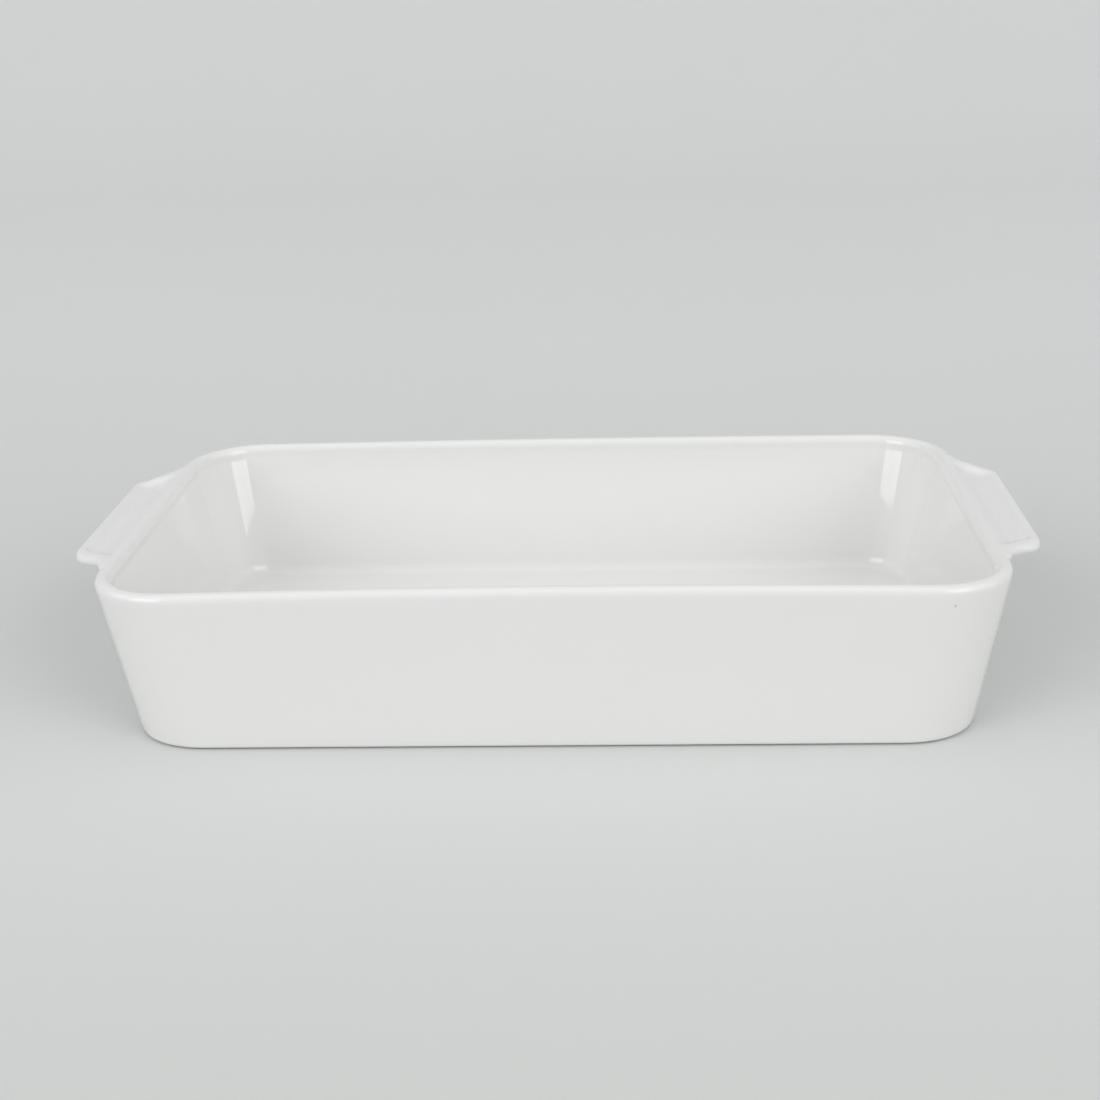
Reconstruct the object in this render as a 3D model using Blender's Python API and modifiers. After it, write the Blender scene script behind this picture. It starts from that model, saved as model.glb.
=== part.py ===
"""Rectangular roasting dish in white glazed ceramic, with a lug handle at each end.

Metres, +Z up, origin on the table under the middle of the dish, +X along its length.
The basin is lofted from one profile that runs from the middle of the underside, round the
foot ring, up the sloping wall, over the rolled rim and down to the middle of the floor.
The two lugs are bodies of their own, seated on the flats of the end walls under the rim.
"""

import math

import bmesh
import bpy

# Basin, outside
RIM_LENGTH = 0.3491
RIM_WIDTH = 0.2107
RIM_HEIGHT = 0.0662
WALL_LEAN = 0.0112
RIM_CORNER_RADIUS = 0.0333
BASE_CORNER_RADIUS = 0.0290
BASE_EDGE_RADIUS = 0.0014

# The long sides are drawn in and slightly crowned at mid-length; the crown fades quickly downward
SIDE_DRAW_IN = 0.0021
SIDE_CROWN = 0.0014
CROWN_POWER = 4

# Basin wall, which thickens from the rim to the floor, and the rolled rim
WALL_THICKNESS = 0.0059
WALL_FOOT_THICKNESS = 0.0078
FLOOR_THICKNESS = 0.0068
FLOOR_FILLET_RADIUS = 0.0052
RIM_THICKNESS = 0.0064
RIM_EDGE_RADIUS = 0.0029
RIM_ROLL_DEPTH = 0.0008

# Foot ring, set in from the base edge, with the underside hollowed inside it
FOOT_RING_HEIGHT = 0.0006
FOOT_RING_INSET = 0.0020
FOOT_RING_WIDTH = 0.0045
FOOT_RING_SLOPE = 0.0004
FOOT_HOLLOW_DEPTH = 0.0013

# Lug handles, measured out from the rim's outline and in from the ends of the end wall's flat
HANDLE_REACH = 0.01585
HANDLE_DROP = 0.0014
HANDLE_END_MARGIN = 0.0125
HANDLE_END_TAPER = 0.0115
HANDLE_ROOT_FLARE = 0.0040
HANDLE_TIP_DRAFT = 0.0014
HANDLE_TIP_THICKNESS = 0.0040
HANDLE_ROOT_THICKNESS = 0.0046
HANDLE_CORNER_RADIUS = 0.0070
HANDLE_EDGE_RADIUS = 0.0013
JOINT_GAP = 0.0003

# Thumb panel sunk in the top of each lug, with a long slope on the side of the rim
PANEL_DEPTH = 0.0013
PANEL_SLOPE = 0.0012
PANEL_ROOT_SLOPE = 0.0038
PANEL_ROOT_BORDER = 0.0010
PANEL_TIP_BORDER = 0.0029
PANEL_END_MARGIN = 0.0080
PANEL_END_TAPER = 0.0078
PANEL_CORNER_REACH = 0.0025

# How finely curved forms are divided
CORNER_STEPS = 9
SIDE_STEPS = 8
EDGE_STEPS = 4
FILLET_STEPS = 5
FREE_EDGE_STEPS = 3
SMOOTH_ANGLE = math.radians(40.0)

# The share of the material or room beside it that a rounding may use
ROUNDING_SHARE = 0.95

WHITE_GLAZE = (0.80, 0.81, 0.80, 1.0)
GLAZE_ROUGHNESS = 0.12
GLAZE_COAT = 0.5

# Worked out from the sizes above
LEAN_ANGLE = math.atan2(WALL_LEAN, RIM_HEIGHT)
LUG_TOP = RIM_HEIGHT - HANDLE_DROP
LUG_TIP_X = RIM_LENGTH / 2.0 + HANDLE_REACH
LUG_ROOT_HALF = RIM_WIDTH / 2.0 - RIM_CORNER_RADIUS - HANDLE_END_MARGIN
LUG_TIP_HALF = LUG_ROOT_HALF - HANDLE_END_TAPER


def arc(centre, radius, start, end, steps):
    """Points (inset, height) along an arc, with its angles in radians."""
    angles = [start + (end - start) * step / steps for step in range(steps + 1)]
    return [(centre[0] + radius * math.cos(a), centre[1] + radius * math.sin(a)) for a in angles]


def wall_inset(height):
    """How far the wall's outside lies inside the rim's outline at a height."""
    return WALL_LEAN * (1.0 - height / RIM_HEIGHT)


def point_behind_wall(depth, height):
    """The (inset, height) of a point that lies square behind the wall's outside by a depth."""
    inset = WALL_LEAN + (depth - height * math.sin(LEAN_ANGLE)) / math.cos(LEAN_ANGLE)
    return inset, height


def to_mesh(bm, name):
    """The mesh of a finished bmesh, with its faces turned outward."""
    bmesh.ops.recalc_face_normals(bm, faces=bm.faces[:])
    mesh = bpy.data.meshes.new(name)
    bm.to_mesh(mesh)
    bm.free()
    return mesh


def basin_profile():
    """The (inset, height) pairs of the basin, from its underside round the outside to its floor."""
    rim_radius = min(RIM_EDGE_RADIUS, ROUNDING_SHARE * RIM_THICKNESS / 2.0)
    inner_corner_radius = BASE_CORNER_RADIUS - WALL_FOOT_THICKNESS
    fillet_radius = min(FLOOR_FILLET_RADIUS, ROUNDING_SHARE * inner_corner_radius)
    crown_height = RIM_HEIGHT - rim_radius
    roll_end = crown_height - RIM_ROLL_DEPTH
    wall_side, top, bottom = math.pi + LEAN_ANGLE, math.pi / 2.0, 1.5 * math.pi

    base_edge = point_behind_wall(BASE_EDGE_RADIUS, FOOT_RING_HEIGHT + BASE_EDGE_RADIUS)
    rim_outside = point_behind_wall(rim_radius, crown_height)
    rim_inside = point_behind_wall(RIM_THICKNESS - rim_radius, crown_height)
    foot_outside = base_edge[0] + FOOT_RING_INSET
    foot_inside = foot_outside + FOOT_RING_SLOPE + FOOT_RING_WIDTH

    # The inner wall leans more than the outer one, and the fillet touches it and the floor
    inner_top = point_behind_wall(WALL_THICKNESS, roll_end)
    inner_foot = point_behind_wall(WALL_FOOT_THICKNESS, FLOOR_THICKNESS)
    inner_lean = math.atan2(inner_foot[0] - inner_top[0], inner_top[1] - inner_foot[1])
    fillet_inset = inner_foot[0] + fillet_radius * (1.0 / math.cos(inner_lean) - math.tan(inner_lean))
    fillet = (fillet_inset, FLOOR_THICKNESS + fillet_radius)

    profile = [
        (foot_inside + FOOT_HOLLOW_DEPTH, FOOT_HOLLOW_DEPTH),
        (foot_inside, 0.0),
        (foot_outside + FOOT_RING_SLOPE, 0.0),
        (foot_outside, FOOT_RING_HEIGHT),
    ]
    profile += arc(base_edge, BASE_EDGE_RADIUS, bottom, wall_side, EDGE_STEPS)
    profile += arc(rim_outside, rim_radius, wall_side, top, EDGE_STEPS)
    profile += arc(rim_inside, rim_radius, top, LEAN_ANGLE, EDGE_STEPS)
    profile.append(inner_top)
    profile += arc(fillet, fillet_radius, math.pi + inner_lean, bottom, FILLET_STEPS)
    return profile


def section(inset, height):
    """One closed ring of the basin: a rounded rectangle whose long sides are drawn in."""
    share = height / RIM_HEIGHT
    half_length = RIM_LENGTH / 2.0 - inset
    half_width = RIM_WIDTH / 2.0 - inset
    outline_radius = BASE_CORNER_RADIUS + (RIM_CORNER_RADIUS - BASE_CORNER_RADIUS) * share
    radius = outline_radius - (inset - wall_inset(height))
    flat_x = half_length - radius
    flat_y = half_width - radius

    plan = []
    for quarter, (side_x, side_y) in enumerate(((1, 1), (-1, 1), (-1, -1), (1, -1))):
        for step in range(CORNER_STEPS + 1):
            angle = (quarter + step / CORNER_STEPS) * math.pi / 2.0
            x = side_x * flat_x + radius * math.cos(angle)
            plan.append((x, side_y * flat_y + radius * math.sin(angle)))
        if side_x == side_y:
            steps = [1.0 - 2.0 * step / SIDE_STEPS for step in range(1, SIDE_STEPS)]
            plan += [(side_x * flat_x * along, side_y * half_width) for along in steps]

    ring = []
    for x, y in plan:
        middle = 1.0 - (2.0 * x / RIM_LENGTH) ** 2
        sideways = y / half_width
        drawn_in = SIDE_DRAW_IN * middle * share * sideways
        crown = SIDE_CROWN * middle * share**CROWN_POWER * sideways**2
        ring.append((x, y - drawn_in, height + crown))
    return ring


def basin_mesh():
    """The basin: the sections along the profile skinned into one closed body."""
    bm = bmesh.new()
    rings = [[bm.verts.new(point) for point in section(*station)] for station in basin_profile()]
    count = len(rings[0])
    for ring, following in zip(rings, rings[1:]):
        for index in range(count):
            after = (index + 1) % count
            bm.faces.new((ring[index], ring[after], following[after], following[index]))
    bm.faces.new(rings[0])
    bm.faces.new(rings[-1])
    return to_mesh(bm, "basin")


def tapered_block(corner):
    """A cube whose corners a function of their three signs places, and its upright edges."""
    bm = bmesh.new()
    bmesh.ops.create_cube(bm, size=2.0)
    uprights = [edge for edge in bm.edges if edge.verts[0].co.z != edge.verts[1].co.z]
    for vert in bm.verts:
        vert.co = corner(*vert.co)
    return bm, uprights


def lug_corner(outward, sideways, upward):
    """A corner of the lug's plate: its root follows the sloping wall, its underside is smaller."""
    low = upward < 0.0
    if outward > 0.0:
        draft = HANDLE_TIP_DRAFT if low else 0.0
        z = LUG_TOP - (HANDLE_TIP_THICKNESS if low else 0.0)
        return LUG_TIP_X - draft, sideways * (LUG_TIP_HALF - draft), z
    z = LUG_TOP - (HANDLE_ROOT_THICKNESS if low else 0.0)
    x = RIM_LENGTH / 2.0 - wall_inset(z) + JOINT_GAP / math.cos(LEAN_ANGLE)
    return x, sideways * (LUG_ROOT_HALF - (HANDLE_ROOT_FLARE if low else 0.0)), z


def lug_mesh():
    """The lug of the +X end: a tapering plate with rounded tip corners and free edges to round."""
    bm, uprights = tapered_block(lug_corner)
    tip_edges = [edge for edge in uprights if edge.verts[0].co.x > RIM_LENGTH / 2.0 + HANDLE_REACH / 2.0]
    turn = math.atan2(HANDLE_REACH, HANDLE_END_TAPER)
    offset = HANDLE_CORNER_RADIUS * math.tan(turn / 2.0)
    bmesh.ops.bevel(bm, geom=tip_edges, offset=offset, segments=EDGE_STEPS, profile=0.5, affect="EDGES")
    bmesh.ops.recalc_face_normals(bm, faces=bm.faces[:])
    root = min(bm.faces, key=lambda face: face.calc_center_median().x)
    weight = bm.edges.layers.float.new("bevel_weight_edge")
    for edge in bm.edges:
        sharp = edge.calc_face_angle(0.0) > SMOOTH_ANGLE
        edge[weight] = 1.0 if sharp and root not in edge.link_faces else 0.0
    return to_mesh(bm, "lug")


def panel_corner(outward, sideways, upward):
    """A corner of the upright block that sinks the thumb panel; its plan is the panel's floor."""
    half = LUG_ROOT_HALF - PANEL_END_MARGIN - PANEL_SLOPE
    z = LUG_TOP + PANEL_DEPTH * upward
    if outward > 0.0:
        return LUG_TIP_X - PANEL_TIP_BORDER - PANEL_SLOPE, sideways * (half - PANEL_END_TAPER), z
    return RIM_LENGTH / 2.0 + PANEL_ROOT_BORDER + PANEL_ROOT_SLOPE, sideways * half, z


def panel_mesh():
    """The cutting block of the +X end's thumb panel: rounded in plan, its sides sloping outward."""
    bm, uprights = tapered_block(panel_corner)
    root_x = panel_corner(-1.0, 1.0, -1.0)[0]
    tip_x = panel_corner(1.0, 1.0, -1.0)[0]
    reach = min(PANEL_CORNER_REACH, ROUNDING_SHARE * (tip_x - root_x) / 2.0)
    bmesh.ops.bevel(bm, geom=uprights, offset=reach, segments=EDGE_STEPS, profile=0.5, affect="EDGES")

    # The block's top is as far above the lug as the panel's floor is below it, so slopes run twice
    for vert in bm.verts:
        if vert.co.z > LUG_TOP:
            on_tip_side = vert.co.x > (root_x + tip_x) / 2.0
            vert.co.x += 2.0 * (PANEL_SLOPE if on_tip_side else -PANEL_ROOT_SLOPE)
            vert.co.y += math.copysign(2.0 * PANEL_SLOPE, vert.co.y)
    return to_mesh(bm, "panel")


def glaze(name):
    """White glaze for one sub-part."""
    material = bpy.data.materials.new(name)
    material.use_nodes = True
    shader = material.node_tree.nodes["Principled BSDF"]
    shader.inputs["Base Color"].default_value = WHITE_GLAZE
    shader.inputs["Roughness"].default_value = GLAZE_ROUGHNESS
    shader.inputs["Metallic"].default_value = 0.0
    shader.inputs["Coat Weight"].default_value = GLAZE_COAT
    return material


def add_object(collection, parent, name, mesh, turn=0.0):
    """A named object in a collection, turned about the vertical and parented."""
    added = bpy.data.objects.new(name, mesh)
    collection.objects.link(added)
    added.parent = parent
    added.rotation_euler.z = turn
    return added


def finish(part):
    """Glaze a sub-part and shade its rounded faces smooth."""
    part.data.materials.append(glaze(part.name + "_glaze"))
    part.data.shade_smooth()
    part.data.set_sharp_from_angle(angle=SMOOTH_ANGLE)


def add_lug(collection, cutters, parent, side, turn):
    """One lug with its free edges rounded and its thumb panel cut."""
    lug = add_object(collection, parent, "handle_" + side, lug_mesh(), turn)
    finish(lug)
    rounding = lug.modifiers.new("Free edges", "BEVEL")
    rounding.limit_method = "WEIGHT"
    rounding.width = HANDLE_EDGE_RADIUS
    rounding.segments = FREE_EDGE_STEPS

    cutter = add_object(cutters, parent, "panel_cutter_" + side, panel_mesh(), turn)
    cutter.hide_render = True
    cutter.display_type = "WIRE"
    panel = lug.modifiers.new("Thumb panel", "BOOLEAN")
    panel.operation = "DIFFERENCE"
    panel.object = cutter


def build():
    """Build the dish in an empty scene."""
    for old in list(bpy.data.objects):
        bpy.data.objects.remove(old, do_unlink=True)

    collection = bpy.data.collections.new("Roasting dish")
    cutters = bpy.data.collections.new("Cutters")
    for group in (collection, cutters):
        bpy.context.scene.collection.children.link(group)
    origin = bpy.data.objects.new("dish_origin", None)
    origin.empty_display_size = RIM_HEIGHT
    collection.objects.link(origin)

    finish(add_object(collection, origin, "dish_body", basin_mesh()))
    add_lug(collection, cutters, origin, "right", 0.0)
    add_lug(collection, cutters, origin, "left", math.pi)


build()
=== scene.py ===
import logging
import math
from dataclasses import dataclass, field
from enum import Enum
from typing import Callable

import bmesh
import bpy
from mathutils import Matrix, Vector


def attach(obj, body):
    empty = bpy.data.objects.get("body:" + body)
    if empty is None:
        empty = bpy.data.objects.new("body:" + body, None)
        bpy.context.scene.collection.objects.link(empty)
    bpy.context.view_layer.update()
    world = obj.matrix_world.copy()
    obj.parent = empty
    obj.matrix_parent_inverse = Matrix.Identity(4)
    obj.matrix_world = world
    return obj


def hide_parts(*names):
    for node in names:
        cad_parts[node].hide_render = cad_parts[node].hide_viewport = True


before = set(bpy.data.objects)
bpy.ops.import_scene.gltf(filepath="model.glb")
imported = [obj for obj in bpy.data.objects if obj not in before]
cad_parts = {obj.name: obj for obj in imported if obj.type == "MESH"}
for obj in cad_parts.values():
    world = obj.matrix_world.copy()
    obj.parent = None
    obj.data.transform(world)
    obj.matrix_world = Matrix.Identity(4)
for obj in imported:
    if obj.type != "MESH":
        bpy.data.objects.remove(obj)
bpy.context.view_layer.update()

TOUCH = 0.00004  # metres within which a point counts as lying on a line or plane
PLACES = 5  # decimals to which places are rounded when like ones are gathered
LEVEL = 0.9  # how upright a face's normal is when the face counts as level
FLAT = 0.99  # the same, for the faces that are truly flat
SHARP = 0.9  # radians between two faces from which their edge is rounded

log = logging.getLogger("roasting_dish")

Row = tuple[float, float]
Colour = tuple[float, float, float]
Place = tuple[float, float, float]
Socket = bpy.types.NodeSocket
Test = Callable[[object], bool]


class Kind(Enum):
    """What an edit-mode selection is made of."""

    POINTS = "VERT"
    EDGES = "EDGE"
    FACES = "FACE"


class Bench:
    """One mesh on the work bench: selections made in code, and the edit tools that act on them."""

    def __init__(self, name: str, size: Vector, centre: Vector) -> None:
        """Lay a plain block on the bench and open it for editing.

        Args:
            name: The name of the piece.
            size: The block's length, width and height in metres.
            centre: Where its middle lies.
        """
        bpy.ops.object.select_all(action="DESELECT")
        bpy.ops.mesh.primitive_cube_add(size=1.0, location=centre, scale=size)
        self.piece = bpy.context.object
        self.piece.name = name
        self.piece.data.name = name
        bpy.ops.object.transform_apply(location=True, rotation=True, scale=True)
        bpy.ops.object.mode_set(mode="EDIT")
        self.clear()

    def mesh(self) -> bmesh.types.BMesh:
        """The mesh as it stands, for reading places and normals.

        Returns:
            The mesh that is open for editing.
        """
        mesh = bmesh.from_edit_mesh(self.piece.data)
        mesh.normal_update()
        return mesh

    def clear(self) -> None:
        """Deselect everything."""
        bpy.ops.mesh.select_all(action="DESELECT")

    def pick(self, kind: Kind, test: Test) -> int:
        """Select only the elements that pass a test.

        Args:
            kind: Points, edges or faces.
            test: A function of one element.

        Returns:
            How many were selected.
        """
        bpy.ops.mesh.select_mode(type=kind.value)
        mesh = self.mesh()
        for group in (mesh.verts, mesh.edges, mesh.faces):
            for element in group:
                element.select = False
        chosen = {Kind.POINTS: mesh.verts, Kind.EDGES: mesh.edges, Kind.FACES: mesh.faces}[kind]
        count = 0
        for element in chosen:
            if test(element):
                element.select_set(True)
                count += 1
        bmesh.update_edit_mesh(self.piece.data)
        return count

    def move(self, step: Vector) -> None:
        """Shift the selection by a step."""
        bpy.ops.transform.translate(value=tuple(step))

    def scale(self, factors: tuple[float, float, float], about: Vector = Vector()) -> None:
        """Scale the selection about a point."""
        bpy.ops.transform.resize(value=factors, center_override=tuple(about))

    def inset(self, margin: float, depth: float = 0.0) -> None:
        """Inset the selected faces as one region.

        Args:
            margin: The width of the band that is added.
            depth: How far the inner faces then stand proud, below zero for sunk.
        """
        bpy.ops.mesh.inset(thickness=margin, depth=depth)

    def extrude(self, step: Vector) -> None:
        """Pull the selected faces out by a step, with walls behind them."""
        bpy.ops.mesh.extrude_region_move(TRANSFORM_OT_translate={"value": tuple(step)})

    def bevel(self, reach: float, steps: int) -> None:
        """Round the selected edges.

        Args:
            reach: How far the rounding runs back along each face.
            steps: How many facets it has.
        """
        bpy.ops.mesh.bevel(offset=reach, segments=steps, profile=0.5)

    def cut(self, point: Vector, normal: Vector, drop_behind: bool = False) -> None:
        """Cut the whole mesh by a plane.

        Args:
            point: A point of the plane.
            normal: Its normal.
            drop_behind: Whether what lies behind the plane is taken away.
        """
        bpy.ops.mesh.select_all(action="SELECT")
        bpy.ops.mesh.bisect(
            plane_co=tuple(point), plane_no=tuple(normal), use_fill=False,
            clear_inner=drop_behind, threshold=TOUCH,
        )
        self.clear()

    def close(self) -> None:
        """Leave edit mode."""
        self.clear()
        bpy.ops.object.mode_set(mode="OBJECT")

    def open(self) -> None:
        """Go back into edit mode with nothing selected."""
        bpy.ops.object.mode_set(mode="EDIT")
        self.clear()


class Wiring:
    """The node tree of one material, with the few kinds of node that the finishes use."""

    def __init__(self, name: str) -> None:
        """Start a material.

        Args:
            name: Its name.
        """
        self.material = bpy.data.materials.new(name)
        self.material.use_nodes = True
        self.nodes = self.material.node_tree.nodes
        self.links = self.material.node_tree.links
        self.shader = self.nodes["Principled BSDF"]
        self.place = self.nodes.new("ShaderNodeTexCoord").outputs["Object"]

    def fix(self, name: str, value: float) -> None:
        """Give one of the shader's own sockets a constant."""
        self.shader.inputs[name].default_value = value

    def feed(self, name: str, source: Socket) -> None:
        """Wire a socket to one of the shader's."""
        self.links.new(source, self.shader.inputs[name])

    def axis(self, name: str) -> Socket:
        """One of the object's own coordinates.

        Args:
            name: X, Y or Z.

        Returns:
            The socket that carries it.
        """
        split = self.nodes.new("ShaderNodeSeparateXYZ")
        self.links.new(self.place, split.inputs["Vector"])
        return split.outputs[name]

    def noise(self, scale: float, detail: float) -> Socket:
        """A soft noise over the object's own coordinates.

        Args:
            scale: How many blobs there are to the metre.
            detail: How much finer noise is added.

        Returns:
            The socket that carries it, about 0 to 1.
        """
        cloud = self.nodes.new("ShaderNodeTexNoise")
        cloud.inputs["Scale"].default_value = scale
        cloud.inputs["Detail"].default_value = detail
        self.links.new(self.place, cloud.inputs["Vector"])
        return cloud.outputs["Fac"]

    def distance(self, spot: Place) -> Socket:
        """How far a place of the object lies from a spot.

        Args:
            spot: The spot, in the object's own coordinates.

        Returns:
            The socket that carries the distance.
        """
        apart = self.nodes.new("ShaderNodeVectorMath")
        apart.operation = "DISTANCE"
        apart.inputs[1].default_value = spot
        self.links.new(self.place, apart.inputs[0])
        return apart.outputs["Value"]

    def spread(self, source: Socket, given: Row, wanted: Row) -> Socket:
        """Bring one range of values to another, and hold it at its ends.

        Args:
            source: The socket that carries the values.
            given: The first and last value that count.
            wanted: What they become.

        Returns:
            The socket that carries the result.
        """
        ranged = self.nodes.new("ShaderNodeMapRange")
        ranged.inputs["From Min"].default_value, ranged.inputs["From Max"].default_value = given
        ranged.inputs["To Min"].default_value, ranged.inputs["To Max"].default_value = wanted
        self.links.new(source, ranged.inputs["Value"])
        return ranged.outputs["Result"]

    def blend(
        self, share: Socket | float, first: Socket | Colour, second: Socket | Colour | float,
        way: str = "MIX",
    ) -> Socket:
        """Blend two colours, or two single values where the second is one number.

        Args:
            share: How much of the second there is.
            first: What it starts from.
            second: What is blended in.
            way: How the two are combined.

        Returns:
            The socket that carries the blend.
        """
        mix = self.nodes.new("ShaderNodeMix")
        mix.data_type = "FLOAT" if isinstance(second, float) else "RGBA"
        if mix.data_type == "RGBA":
            mix.blend_type = way
        for name, value in (("A", first), ("B", second), ("Factor", share)):
            if isinstance(value, Socket):
                self.links.new(value, mix.inputs[name])
            elif isinstance(value, tuple):
                mix.inputs[name].default_value = (*value, 1.0)
            else:
                mix.inputs[name].default_value = value
        return mix.outputs["Result"]


@dataclass(frozen=True)
class Glaze:
    """White stoneware glaze: glossy, faintly rippled, with a bare foot where the dish stands."""

    colour: Colour = (0.838, 0.841, 0.833)
    thin_colour: Colour = (0.827, 0.829, 0.820)
    cloud_scale: float = 9.0
    cloud_detail: float = 3.0
    fleck_colour: Colour = (0.500, 0.485, 0.400)
    fleck_place: Place = (0.1482, -0.1026, 0.0592)
    fleck_radius: float = 0.00030
    fleck_fade: float = 2.2
    fleck_share: float = 0.75
    bare_colour: Colour = (0.700, 0.675, 0.630)
    bare_roughness: float = 0.62
    bare_height: float = 0.00025
    bare_fade: float = 1.6
    gloss: float = 0.05
    gloss_spread: float = 0.03
    gloss_scale: float = 22.0
    gloss_detail: float = 2.0
    ripple_size: float = 0.014
    ripple_detail: float = 1.0
    ripple_height: float = 0.00003
    refraction: float = 1.58

    def build(self) -> bpy.types.Material:
        """Make the material.

        Returns:
            A node material that reads Object coordinates.
        """
        wiring = Wiring("white_glaze")
        wiring.fix("IOR", self.refraction)
        wiring.fix("Metallic", 0.0)

        cloud = wiring.noise(self.cloud_scale, self.cloud_detail)
        tone = wiring.blend(cloud, self.colour, self.thin_colour)
        fleck_end = (self.fleck_radius, self.fleck_fade * self.fleck_radius)
        fleck = wiring.spread(wiring.distance(self.fleck_place), fleck_end, (self.fleck_share, 0.0))
        flecked = wiring.blend(fleck, tone, self.fleck_colour)
        bare_end = (self.bare_height, self.bare_fade * self.bare_height)
        bare = wiring.spread(wiring.axis("Z"), bare_end, (1.0, 0.0))
        wiring.feed("Base Color", wiring.blend(bare, flecked, self.bare_colour))

        patch = wiring.noise(self.gloss_scale, self.gloss_detail)
        half = self.gloss_spread / 2.0
        gloss = wiring.spread(patch, (0.0, 1.0), (self.gloss - half, self.gloss + half))
        wiring.feed("Roughness", wiring.blend(bare, gloss, self.bare_roughness))

        bump = wiring.nodes.new("ShaderNodeBump")
        bump.inputs["Strength"].default_value = 1.0
        bump.inputs["Distance"].default_value = self.ripple_height
        ripple = wiring.noise(1.0 / self.ripple_size, self.ripple_detail)
        wiring.links.new(ripple, bump.inputs["Height"])
        wiring.feed("Normal", bump.outputs["Normal"])
        return wiring.material


@dataclass(frozen=True)
class Paper:
    """The pale paper that the dish stands on: its colour at some places along Y, with a painted
    pool of light just in front of the dish, painted shade beside it, darker towards the front and
    lighter further back; and its grain.
    """

    # Colours along Y: the stop at -0.17 is a painted pool of light in front of the dish, the stop
    # at 0.12 is painted shade beside it; towards the front the paper is darker.
    tones_with_painted_light: tuple[tuple[float, Colour], ...] = (
        (-0.60, (0.658, 0.668, 0.656)),
        (-0.30, (0.687, 0.697, 0.688)),
        (-0.17, (0.726, 0.738, 0.731)),
        (0.12, (0.686, 0.697, 0.690)),
        (0.60, (0.728, 0.742, 0.736)),
        (3.20, (0.745, 0.760, 0.754)),
    )
    mottle: float = 0.01
    mottle_scale: float = 3.0
    mottle_detail: float = 2.0
    roughness: float = 0.85
    sheen: float = 0.1

    def build(self) -> bpy.types.Material:
        """Make the material.

        Returns:
            A node material whose tone changes away from the camera, with painted light just in
            front of the dish and painted shade beside it, and a faint mottle.
        """
        wiring = Wiring("pale_paper")
        wiring.fix("Roughness", self.roughness)
        wiring.fix("Specular IOR Level", self.sheen)
        near, far = self.tones_with_painted_light[0][0], self.tones_with_painted_light[-1][0]
        # This ramp paints a pool of light in front of the dish and shade beside it into the paper's
        # colour.
        ramp = wiring.nodes.new("ShaderNodeValToRGB")
        stops = ramp.color_ramp.elements
        stops[0].color = (*self.tones_with_painted_light[0][1], 1.0)
        stops[1].color = (*self.tones_with_painted_light[-1][1], 1.0)
        for spot, colour in self.tones_with_painted_light[1:-1]:
            stops.new((spot - near) / (far - near)).color = (*colour, 1.0)
        along = wiring.spread(wiring.axis("Y"), (near, far), (0.0, 1.0))
        wiring.links.new(along, ramp.inputs["Fac"])
        cloud = wiring.noise(self.mottle_scale, self.mottle_detail)
        tone = wiring.blend(2.0 * self.mottle, ramp.outputs["Color"], cloud, "MULTIPLY")
        wiring.feed("Base Color", tone)
        return wiring.material


@dataclass(frozen=True)
class Ring:
    """A level ring of the basin: half its length and width, its corner radius and its height."""

    half_length: float
    half_width: float
    corner: float
    height: float


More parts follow.
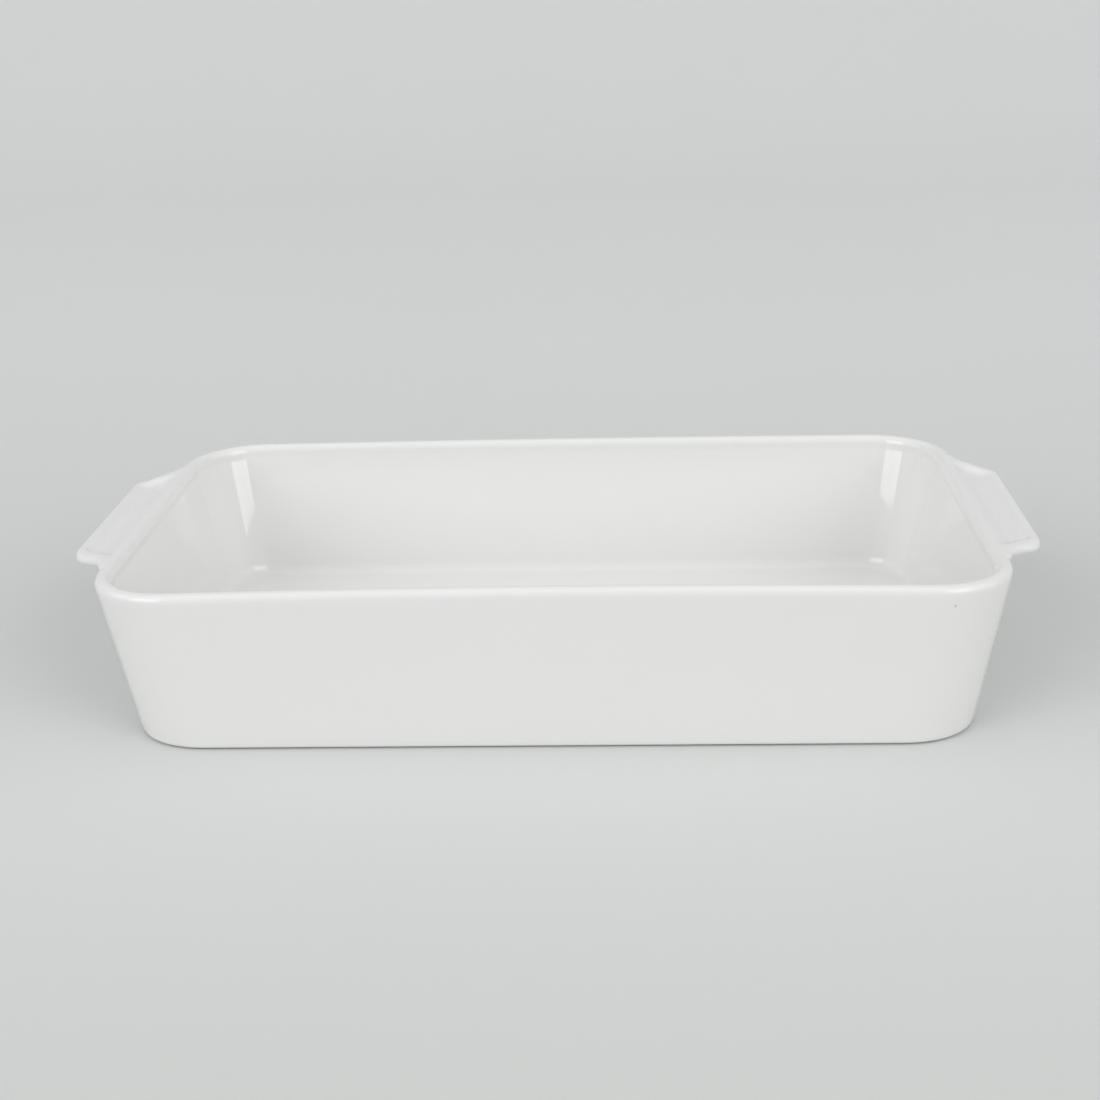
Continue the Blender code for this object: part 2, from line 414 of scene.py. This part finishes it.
@dataclass
class Tab:
    """One tab handle: a flat plate that tapers from the rim to its tip, with a sunk thumb panel.

    The plate is a grid: stations run out from the rim, columns run along it from the middle to
    the end, and rows run up its edge from underneath to the top. The outline starts at the root
    and ends at the middle of the tip, and each roll gives how far a row stands back and down.
    """

    columns: tuple[float, ...] = (0.0, 0.0240, 0.0450, 0.0500, 0.0560, 0.0690)
    step: float = 0.010
    slack: float = 0.001
    window: float = 0.006
    outline: tuple[Row, ...] = (
        (0.17480, 0.06850), (0.17590, 0.06360), (0.17790, 0.05960), (0.18100, 0.05630),
        (0.18410, 0.05390), (0.18670, 0.05190), (0.18920, 0.04890), (0.19000, 0.04480),
        (0.19002, 0.04150), (0.19002, 0.03600), (0.19002, 0.02400), (0.19002, 0.0),
    )
    outline_z: tuple[float, ...] = (
        0.06625, 0.06630, 0.06625, 0.06595, 0.06540, 0.06500, 0.06490, 0.06482, 0.06482, 0.06482,
        0.06482, 0.06482,
    )
    under_z: tuple[float, ...] = (
        0.06022, 0.06022, 0.06022, 0.06030, 0.06040, 0.06045, 0.06050, 0.06060, 0.06062, 0.06062,
        0.06062, 0.06062,
    )
    end_roll: tuple[Row, ...] = (
        (0.0024, 0.0), (0.0009, 0.0004), (0.0, 0.0014), (0.0, 0.0027), (0.0009, 0.0040),
        (0.0030, 0.0044),
    )
    tip_roll: tuple[Row, ...] = (
        (0.0012, 0.0), (0.0003, 0.0002), (0.0, 0.0014), (0.0, 0.0028), (0.0004, 0.0038),
        (0.0016, 0.0042),
    )
    root_undercut: tuple[float, ...] = (0.0050, 0.0036, 0.0018)
    root_hold: tuple[float, ...] = (0.35, 0.60, 0.80)
    root_rows: int = 2
    panel: tuple[Row, ...] = (
        (0.17280, 0.06590), (0.17540, 0.06500), (0.17810, 0.06400), (0.18080, 0.06350),
        (0.18520, 0.06350), (0.18680, 0.06486),
    )
    border_z: tuple[float, ...] = (0.06625, 0.06625, 0.06615, 0.06590, 0.06530, 0.06505)
    panel_y: tuple[float, ...] = (0.0, 0.0240, 0.0370, 0.0418, 0.0440)
    end_slant: tuple[float, ...] = (0.0, 0.0, 0.60, 0.85, 0.85)
    under_start: float = 0.17480
    under_reach: float = 0.0124
    under_share: float = 0.95

    def edge_point(self, link: int, row: int) -> Vector:
        """A point of the plate's rounded edge.

        Args:
            link: Which point of the outline it lies on.
            row: Which row of the edge, from 0 underneath.

        Returns:
            Where the point lies.
        """
        top_row = len(self.end_roll) - 1
        before = Vector(self.outline[max(link - 1, 0)])
        after = Vector(self.outline[min(link + 1, len(self.outline) - 1)])
        along = (after - before).normalized()
        outward = Vector((-along.y, along.x))
        if outward.x < 0.0:
            outward = -outward
        corner = len(self.panel)
        end, tip = self.end_roll[top_row - row], self.tip_roll[top_row - row]
        share = 0.5 if link == corner else float(link > corner)
        back = end[0] + share * (tip[0] - end[0])
        drop = end[1] + share * (tip[1] - end[1])
        height = self.outline_z[link] - drop
        if row == 0:
            height = self.under_z[link]
        if link < len(self.root_hold) and row < self.root_rows:
            back *= self.root_hold[link]
        place = Vector(self.outline[link]) - back * outward
        if link < len(self.root_undercut):
            place.y -= self.root_undercut[link] * (1.0 - row / top_row) ** 2
        return Vector((place.x, place.y, height))

    def point(self, station: int, column: int, row: int) -> Vector:
        """Where a point of the plate belongs.

        Args:
            station: How far out it lies, from 0 beside the rim to the last at the tip.
            column: Its column, from 0 at the middle to the last at the end.
            row: Its row, from 0 underneath.

        Returns:
            Where the point lies.
        """
        last = len(self.columns) - 1
        if station == len(self.panel):
            return self.edge_point(station + last - column, row)
        if column == last:
            return self.edge_point(station, row)
        x, height = self.panel[station]
        y = self.panel_y[column] + self.end_slant[column] * (self.panel[-1][0] - x)
        if row == 0:
            share = station / (len(self.panel) - 1)
            x = self.under_start + self.under_reach * share
            return Vector((x, self.under_share * y, self.under_z[station]))
        if column == last - 1:
            height = self.border_z[station]
        return Vector((x, y, height))


@dataclass
class RoastingDish:
    """The fired dish: basin, rolled rim, foot ring and the two tab handles in one glazed piece."""

    rim_length: float = 0.3491
    rim_width: float = 0.2107
    rim_height: float = 0.0662
    wall_lean: float = 0.0112
    rim_corner: float = 0.0333
    base_corner: float = 0.0290
    foot_height: float = 0.0006
    draw_in: float = 0.0021
    crown: float = 0.0014
    crown_power: float = 4.0
    bow_end: float = 0.005
    rim_thickness: float = 0.0064
    rim_divide: float = 0.7
    rim_radius: float = 0.0029
    wall_thickness: float = 0.0061
    foot_thickness: float = 0.0078
    floor_height: float = 0.0068
    fillet_radius: float = 0.0052
    bead_top: float = 0.0631
    bead_end: float = 0.0612
    base_radius: float = 0.0014
    foot_inset: float = 0.0020
    foot_slope: float = 0.0004
    foot_width: float = 0.0045
    foot_hollow: float = 0.0013
    floor_band: float = 0.0060
    corner_steps: int = 8
    rim_steps: int = 4
    base_steps: int = 3
    fillet_steps: int = 4
    long_columns: tuple[float, ...] = (0.0, 0.035, 0.070, 0.105, 0.132)
    rows: tuple[float, ...] = (0.0040, 0.0130, 0.0220, 0.0360, 0.0500, 0.0584, 0.0602)
    slide: tuple[float, ...] = (-0.0048, -0.0030, -0.0016, -0.0006, 0.0, 0.0003)
    slide_below: float = 0.6
    smoothing: int = 2
    tab: Tab = field(default_factory=Tab)
    glaze: Glaze = field(default_factory=Glaze)

    @property
    def lean(self) -> float:
        """The wall's lean from upright, in radians."""
        return math.atan2(self.wall_lean, self.rim_height)

    def behind_wall(self, depth: float, height: float) -> float:
        """The inset from the rim's outline of a point square behind the wall's outside.

        Args:
            depth: How far behind the wall it lies.
            height: Its height.

        Returns:
            The inset.
        """
        return self.wall_lean + (depth - height * math.sin(self.lean)) / math.cos(self.lean)

    def ring(self, inset: float, height: float) -> Ring:
        """The ring that lies at an inset from the rim's outline and at a height.

        Args:
            inset: How far inside the rim's outline it runs.
            height: Its height.

        Returns:
            The ring.
        """
        share = height / self.rim_height
        outline = self.base_corner + (self.rim_corner - self.base_corner) * share
        corner = outline - (inset - self.wall_lean * (1.0 - share))
        return Ring(self.rim_length / 2.0 - inset, self.rim_width / 2.0 - inset, corner, height)

    def inset_of(self, x: float, y: float) -> float:
        """How far a place lies inside the rim's outline.

        Args:
            x: Where it lies along the dish.
            y: Where it lies across the dish.

        Returns:
            The distance, below zero for a place outside.
        """
        dx = abs(x) - (self.rim_length / 2.0 - self.rim_corner)
        dy = abs(y) - (self.rim_width / 2.0 - self.rim_corner)
        outside = math.hypot(max(dx, 0.0), max(dy, 0.0)) + min(max(dx, dy), 0.0)
        return self.rim_corner - outside

    def rounding_reach(self, radius: float, turn: float) -> float:
        """How far an arc runs back along each face from a corner that turns by an angle."""
        return radius * math.tan(turn / 2.0)

    def reshape(self, bench: Bench, old: Ring, new: Ring) -> None:
        """Bring the selected ring from one size to another, and its corners to their radius.

        Args:
            bench: The bench with the mesh, the ring selected.
            old: The ring as it is.
            new: The ring as it shall be.
        """
        factor_x = new.half_length / old.half_length
        factor_y = new.half_width / old.half_width
        bench.scale((factor_x, factor_y, 1.0), Vector((0.0, 0.0, new.height)))
        arc_x, arc_y = old.corner * factor_x, old.corner * factor_y
        for side_x in (-1.0, 1.0):
            for side_y in (-1.0, 1.0):
                bench.pick(Kind.POINTS, lambda vert: (
                    abs(vert.co.z - new.height) < TOUCH
                    and side_x * vert.co.x > new.half_length - arc_x - TOUCH
                    and side_y * vert.co.y > new.half_width - arc_y - TOUCH
                ))
                sharp = Vector((side_x * new.half_length, side_y * new.half_width, new.height))
                bench.scale((new.corner / arc_x, new.corner / arc_y, 1.0), sharp)

    def make_block(self) -> Bench:
        """A block with rounded upright corners that narrows to the base.

        Returns:
            The bench with the block.
        """
        tall = self.rim_height - self.foot_height
        middle = Vector((0.0, 0.0, self.foot_height + tall / 2.0))
        bench = Bench("dish", Vector((self.rim_length, self.rim_width, tall)), middle)
        bench.pick(Kind.EDGES, lambda edge: (
            abs(edge.verts[0].co.z - edge.verts[1].co.z) > tall / 2.0
        ))
        bench.bevel(self.rim_corner, self.corner_steps)
        bench.pick(Kind.FACES, lambda face: face.normal.z < -LEVEL)
        foot_inset = self.wall_lean * (1.0 - self.foot_height / self.rim_height)
        top = self.ring(0.0, self.rim_height)
        self.reshape(bench, top, self.ring(foot_inset, self.foot_height))
        return bench

    def hollow(self, bench: Bench) -> None:
        """Sink the inside in steps: the rim, its bead, the inner wall and the floor.

        Args:
            bench: The bench with the block.
        """
        rim = self.ring(self.behind_wall(self.rim_thickness, self.rim_height), self.rim_height)
        bench.pick(Kind.FACES, lambda face: face.normal.z > LEVEL)
        bench.inset(self.rim_length / 2.0 - rim.half_length)
        old = rim
        for depth, height in (
            (self.rim_thickness, self.bead_top),
            (self.wall_thickness, self.bead_end),
            (self.foot_thickness, self.floor_height),
        ):
            new = self.ring(self.behind_wall(depth, height), height)
            bench.extrude(Vector((0.0, 0.0, height - old.height)))
            self.reshape(bench, old, new)
            bench.pick(Kind.FACES, lambda face: (
                face.normal.z > LEVEL and abs(face.calc_center_median().z - height) < TOUCH
            ))
            old = new

    def bow_sides(self, bench: Bench) -> None:
        """Draw the long sides in and raise their rim towards mid-length.

        Args:
            bench: The bench with the hollowed block.
        """
        for x in self.long_columns:
            for side in {-x, x}:
                bench.cut(Vector((side, 0.0, 0.0)), Vector((1.0, 0.0, 0.0)))
        for height in (
            self.rim_height, self.bead_top, self.bead_end, self.floor_height, self.foot_height,
        ):
            share = height / self.rim_height
            spots = sorted({
                (round(abs(vert.co.x), PLACES), round(abs(vert.co.y), PLACES))
                for vert in bench.mesh().verts if abs(vert.co.z - height) < TOUCH
            })
            for x, y in spots:
                middle = 1.0 - (2.0 * x / self.rim_length) ** 2
                if middle < self.bow_end or y < TOUCH:
                    continue
                half = self.rim_width / 2.0 - max(self.inset_of(x, y), 0.0)
                sideways = min(y / half, 1.0)
                drawn = self.draw_in * middle * share * sideways
                raised = self.crown * middle * share**self.crown_power * sideways**2
                bench.pick(Kind.POINTS, lambda vert: (
                    abs(vert.co.z - height) < TOUCH
                    and abs(abs(vert.co.x) - x) < TOUCH
                    and abs(abs(vert.co.y) - y) < TOUCH
                ))
                bench.scale((1.0, 1.0 - drawn / y, 1.0))
                bench.move(Vector((0.0, 0.0, raised)))

    def round_edges(self, bench: Bench) -> None:
        """Roll the rim, round the base edge and run the fillet round the floor.

        Args:
            bench: The bench with the bowed basin.
        """
        square = math.pi / 2.0
        drop = self.floor_height - self.bead_end
        top = self.behind_wall(self.wall_thickness, self.bead_end)
        foot = self.behind_wall(self.foot_thickness, self.floor_height)
        inner_lean = math.atan2(foot - top, -drop)

        def sharp(edge: bmesh.types.BMEdge) -> bool:
            """Whether the faces at an edge meet in a corner."""
            return len(edge.link_faces) == 2 and edge.calc_face_angle() > SHARP

        def middle(edge: bmesh.types.BMEdge) -> Vector:
            """The middle of an edge."""
            return (edge.verts[0].co + edge.verts[1].co) / 2.0

        def on_rim(edge: bmesh.types.BMEdge, outside: bool) -> bool:
            """Whether an edge is the rim's outer or inner one.

            Args:
                edge: The edge.
                outside: True for the outer one.

            Returns:
                Whether it is that one.
            """
            spot = middle(edge)
            outer = self.inset_of(spot.x, spot.y) < self.rim_divide * self.rim_thickness
            return sharp(edge) and spot.z > self.rim_height - TOUCH and outer == outside

        bench.pick(Kind.EDGES, lambda edge: on_rim(edge, True))
        bench.bevel(self.rounding_reach(self.rim_radius, square + self.lean), self.rim_steps)
        bench.pick(Kind.EDGES, lambda edge: on_rim(edge, False))
        bench.bevel(self.rounding_reach(self.rim_radius, square - self.lean), self.rim_steps)
        bench.pick(Kind.EDGES, lambda edge: (
            sharp(edge) and middle(edge).z < self.foot_height + TOUCH
        ))
        bench.bevel(self.rounding_reach(self.base_radius, square - self.lean), self.base_steps)
        bench.pick(Kind.EDGES, lambda edge: (
            sharp(edge) and abs(middle(edge).z - self.floor_height) < self.base_radius / 2.0
        ))
        bench.bevel(self.rounding_reach(self.fillet_radius, square - inner_lean), self.fillet_steps)

    def make_foot(self, bench: Bench) -> None:
        """Leave a low ring standing round the underside, and a band round the floor.

        Args:
            bench: The bench with the rounded basin.
        """
        bench.pick(Kind.FACES, lambda face: (
            face.normal.z < -FLAT and face.calc_center_median().z < self.foot_height + TOUCH
        ))
        bench.inset(self.foot_inset)
        bench.inset(self.foot_slope, self.foot_height)
        bench.inset(self.foot_width)
        bench.inset(self.foot_hollow, -self.foot_hollow)
        bench.inset(self.floor_band)
        bench.pick(Kind.FACES, lambda face: (
            face.normal.z > FLAT
            and abs(face.calc_center_median().z - self.floor_height) < self.base_radius / 4.0
        ))
        bench.inset(self.floor_band)

    def cut_rows(self, bench: Bench) -> None:
        """Cut the level rows of the walls and the columns of the end wall, and keep one half.

        Args:
            bench: The bench with the footed basin.
        """
        for height in self.rows:
            bench.cut(Vector((0.0, 0.0, height)), Vector((0.0, 0.0, 1.0)))
        bench.cut(Vector(), Vector((1.0, 0.0, 0.0)), drop_behind=True)
        for y in self.tab.columns:
            for side in {-y, y}:
                bench.cut(Vector((0.0, side, 0.0)), Vector((0.0, 1.0, 0.0)))

    def pull_tab(self, bench: Bench) -> None:
        """Pull the tab handle out of the end wall and bring it to shape.

        Args:
            bench: The bench with one half of the basin.
        """
        tab = self.tab
        low, high = self.rows[-1], self.rim_height
        end = tab.columns[-1]
        crest = self.rim_length / 2.0 - self.behind_wall(self.rim_radius, high - self.rim_radius)
        lines = sorted({
            round(vert.co.z, PLACES) for vert in bench.mesh().verts
            if vert.co.x > crest - TOUCH and abs(vert.co.y) < TOUCH and vert.co.z > low - TOUCH
        })
        bench.pick(Kind.FACES, lambda face: (
            face.calc_center_median().x > crest
            and abs(face.calc_center_median().y) < end
            and min(vert.co.z for vert in face.verts) > low - TOUCH
            and face.normal.x > 0.0
        ))
        stations = len(tab.panel) + 1
        for _ in range(stations):
            bench.extrude(Vector((tab.step, 0.0, 0.0)))
        bench.cut(Vector(), Vector((0.0, 1.0, 0.0)), drop_behind=True)

        for station in range(stations):
            start = crest - tab.slack + tab.step * (station + 1)
            for column, across in enumerate(tab.columns):
                for row, height in enumerate(lines):
                    found = bench.pick(Kind.POINTS, lambda vert: (
                        start < vert.co.x < start + tab.window
                        and abs(vert.co.y - across) < TOUCH
                        and abs(vert.co.z - height) < 2.0 * TOUCH
                    ))
                    if not found:
                        continue
                    spot = next(vert.co.copy() for vert in bench.mesh().verts if vert.select)
                    bench.move(tab.point(station, column, row) - spot)
        for row, height in enumerate(lines):
            bench.pick(Kind.POINTS, lambda vert: (
                crest - TOUCH < vert.co.x < self.rim_length / 2.0
                and abs(vert.co.y - end) < TOUCH and abs(vert.co.z - height) < 2.0 * TOUCH
            ))
            bench.move(Vector((0.0, self.slide[row], 0.0)))
        bench.pick(Kind.POINTS, lambda vert: (
            vert.co.x > crest and abs(vert.co.y - end) < TOUCH
            and abs(vert.co.z - self.rows[-2]) < TOUCH
        ))
        bench.move(Vector((0.0, self.slide_below * self.slide[0], 0.0)))

    def mirror(self, bench: Bench) -> None:
        """Mirror the quarter to the whole dish.

        Args:
            bench: The bench with the quarter and its tab.
        """
        bench.close()
        mirror = bench.piece.modifiers.new("Halves", "MIRROR")
        mirror.use_axis = (True, True, False)
        mirror.use_clip = True
        mirror.merge_threshold = TOUCH
        bpy.ops.object.modifier_apply(modifier=mirror.name)
        bench.open()
        bpy.ops.mesh.select_all(action="SELECT")
        bpy.ops.mesh.remove_doubles(threshold=TOUCH / 4.0)
        bpy.ops.mesh.normals_make_consistent(inside=False)
        bench.clear()

    def build(self) -> bpy.types.Object:
        """Model the dish and dress it.

        Returns:
            The finished piece.
        """
        bench = self.make_block()
        self.hollow(bench)
        self.bow_sides(bench)
        self.round_edges(bench)
        self.make_foot(bench)
        self.cut_rows(bench)
        self.pull_tab(bench)
        self.mirror(bench)
        bench.close()
        piece = bench.piece
        smooth = piece.modifiers.new("Smooth", "SUBSURF")
        smooth.levels = self.smoothing
        smooth.render_levels = self.smoothing
        bpy.ops.object.modifier_apply(modifier=smooth.name)
        bpy.ops.object.shade_smooth()
        piece.data.materials.append(self.glaze.build())
        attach(piece, "root")
        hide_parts("dish_body", "handle_left", "handle_right")
        return piece


@dataclass(frozen=True)
class Softbox:
    """A soft rectangular lamp that faces the dish."""

    name: str
    centre: Place
    facing: Place
    width: float
    height: float
    watts: float

    def build(self) -> bpy.types.Object:
        """Hang the lamp.

        Returns:
            The lamp.
        """
        data = bpy.data.lights.new(self.name, "AREA")
        data.shape = "RECTANGLE"
        data.size = self.width
        data.size_y = self.height
        data.energy = self.watts
        lamp = bpy.data.objects.new(self.name, data)
        bpy.context.scene.collection.objects.link(lamp)
        lamp.location = self.centre
        toward = Vector(self.facing).normalized()
        lamp.rotation_euler = toward.to_track_quat("-Z", "Y").to_euler()
        lamp.visible_camera = False
        return lamp


@dataclass(frozen=True)
class Glow:
    """A broad soft patch of light in the sky."""

    toward: Place
    strength: float
    spread: float = 10.0


@dataclass
class Studio:
    """The pale floor, the sky of soft light and the lamps."""

    paper_width: float = 18.0
    paper_front: float = -9.0
    paper_back: float = 3.2
    sweep_height: float = 4.0
    sweep_radius: float = 1.8
    sweep_steps: int = 16
    sky_top: float = 1.13
    sky_power: float = 3.0
    glows: tuple[Glow, ...] = (
        Glow((0.889, -0.174, 0.423), 1.58),
        Glow((-0.889, -0.174, 0.423), 1.67),
        Glow((0.0, -0.906, 0.423), 0.57),
    )
    backdrop: Colour = (0.625, 0.645, 0.635)
    paper: Paper = field(default_factory=Paper)
    lamps: tuple[Softbox, ...] = (
        Softbox("lamp_right", (3.32, -3.51, 2.99), (-0.695, 0.719, 0.0), 2.87, 4.75, 103.0),
        Softbox("lamp_left", (-3.20, -3.62, 2.99), (0.669, 0.743, 0.0), 3.06, 4.75, 110.0),
    )

    def pick_back_edge(self, floor: bpy.types.Object) -> None:
        """Select the edge where the paper leaves the table.

        Args:
            floor: The paper, open for editing.
        """
        bpy.ops.mesh.select_all(action="DESELECT")
        bpy.ops.mesh.select_mode(type="EDGE")
        mesh = bmesh.from_edit_mesh(floor.data)
        for edge in mesh.edges:
            on_table = max(vert.co.z for vert in edge.verts) < TOUCH
            behind = min(vert.co.y for vert in edge.verts) > self.paper_back - TOUCH
            edge.select_set(on_table and behind)
        bmesh.update_edit_mesh(floor.data)

    def build_floor(self) -> bpy.types.Object:
        """Lay the paper.

        Returns:
            The floor.
        """
        bpy.ops.object.select_all(action="DESELECT")
        deep = self.paper_back - self.paper_front
        middle = (0.0, self.paper_front + deep / 2.0, 0.0)
        bpy.ops.mesh.primitive_plane_add(size=1.0, location=middle)
        floor = bpy.context.object
        floor.name = "floor"
        floor.scale = (self.paper_width, deep, 1.0)
        bpy.ops.object.transform_apply(location=True, rotation=True, scale=True)
        bpy.ops.object.mode_set(mode="EDIT")
        self.pick_back_edge(floor)
        rise = {"value": (0.0, 0.0, self.sweep_height)}
        bpy.ops.mesh.extrude_region_move(TRANSFORM_OT_translate=rise)
        self.pick_back_edge(floor)
        bpy.ops.mesh.bevel(offset=self.sweep_radius, segments=self.sweep_steps, profile=0.5)
        bpy.ops.object.mode_set(mode="OBJECT")
        bpy.ops.object.shade_smooth()
        floor.data.materials.append(self.paper.build())
        return floor

    def build_sky(self) -> None:
        """Light the room softly from above, with the pale backdrop behind what the camera sees."""
        world = bpy.data.worlds.new("soft_room")
        bpy.context.scene.world = world
        world.use_nodes = True
        nodes, links = world.node_tree.nodes, world.node_tree.links
        nodes.clear()
        place = nodes.new("ShaderNodeTexCoord").outputs["Generated"]
        split = nodes.new("ShaderNodeSeparateXYZ")
        links.new(place, split.inputs["Vector"])

        def work(operation: str, first: Socket, second: float) -> Socket:
            """One step of arithmetic on a socket.

            Args:
                operation: The name of the step.
                first: The socket it works on.
                second: The number it works with.

            Returns:
                The socket with the result.
            """
            step = nodes.new("ShaderNodeMath")
            step.operation = operation
            links.new(first, step.inputs[0])
            step.inputs[1].default_value = second
            return step.outputs["Value"]

        up = work("POWER", work("MAXIMUM", split.outputs["Z"], 0.0), self.sky_power)
        total = work("MULTIPLY", up, self.sky_top)
        for glow in self.glows:
            facing = nodes.new("ShaderNodeVectorMath")
            facing.operation = "DOT_PRODUCT"
            links.new(place, facing.inputs[0])
            facing.inputs[1].default_value = glow.toward
            patch = work("POWER", work("MAXIMUM", facing.outputs["Value"], 0.0), glow.spread)
            more = nodes.new("ShaderNodeMath")
            more.operation = "MULTIPLY_ADD"
            links.new(patch, more.inputs[0])
            more.inputs[1].default_value = glow.strength
            links.new(total, more.inputs[2])
            total = more.outputs["Value"]
        sky = nodes.new("ShaderNodeBackground")
        links.new(total, sky.inputs["Strength"])
        seen = nodes.new("ShaderNodeBackground")
        seen.inputs["Color"].default_value = (*self.backdrop, 1.0)
        path = nodes.new("ShaderNodeLightPath")
        choose = nodes.new("ShaderNodeMixShader")
        links.new(path.outputs["Is Camera Ray"], choose.inputs["Fac"])
        links.new(sky.outputs["Background"], choose.inputs[1])
        links.new(seen.outputs["Background"], choose.inputs[2])
        output = nodes.new("ShaderNodeOutputWorld")
        links.new(choose.outputs["Shader"], output.inputs["Surface"])

    def build(self) -> None:
        """Set up the whole room."""
        self.build_floor()
        self.build_sky()
        for lamp in self.lamps:
            lamp.build()


@dataclass(frozen=True)
class Viewpoint:
    """The camera, where the photograph was taken from."""

    location: Place = (0.035876, -0.722513, 0.297523)
    yaw: float = -0.0540
    pitch: float = -0.3334
    roll: float = -0.0302
    focal_pixels: float = 1822.36
    frame_pixels: float = 1100.0
    sensor: float = 36.0
    near_clip: float = 0.01

    def build(self) -> bpy.types.Object:
        """Set up the camera.

        Returns:
            The camera.
        """
        data = bpy.data.cameras.new("camera")
        data.sensor_width = self.sensor
        data.lens = self.focal_pixels * self.sensor / self.frame_pixels
        data.clip_start = self.near_clip
        camera = bpy.data.objects.new("camera", data)
        bpy.context.scene.collection.objects.link(camera)
        ahead = Vector((
            math.sin(self.yaw) * math.cos(self.pitch),
            math.cos(self.yaw) * math.cos(self.pitch),
            math.sin(self.pitch),
        ))
        level = Vector((math.cos(self.yaw), -math.sin(self.yaw), 0.0))
        up = level.cross(ahead)
        right = math.cos(self.roll) * level + math.sin(self.roll) * up
        above = -math.sin(self.roll) * level + math.cos(self.roll) * up
        turn = Matrix((right, above, -ahead)).transposed().to_4x4()
        camera.matrix_world = Matrix.Translation(self.location) @ turn
        bpy.context.scene.camera = camera
        return camera


def main() -> None:
    """Build the camera, the dish and the room, and report each."""
    logging.basicConfig(level=logging.INFO, format="%(name)s: %(message)s")
    bpy.context.scene.view_settings.view_transform = "Standard"
    Viewpoint().build()
    log.info("camera set")
    dish = RoastingDish().build()
    log.info("%s: %d faces", dish.name, len(dish.data.polygons))
    Studio().build()
    log.info("room lit")


if __name__ == "__main__":
    main()
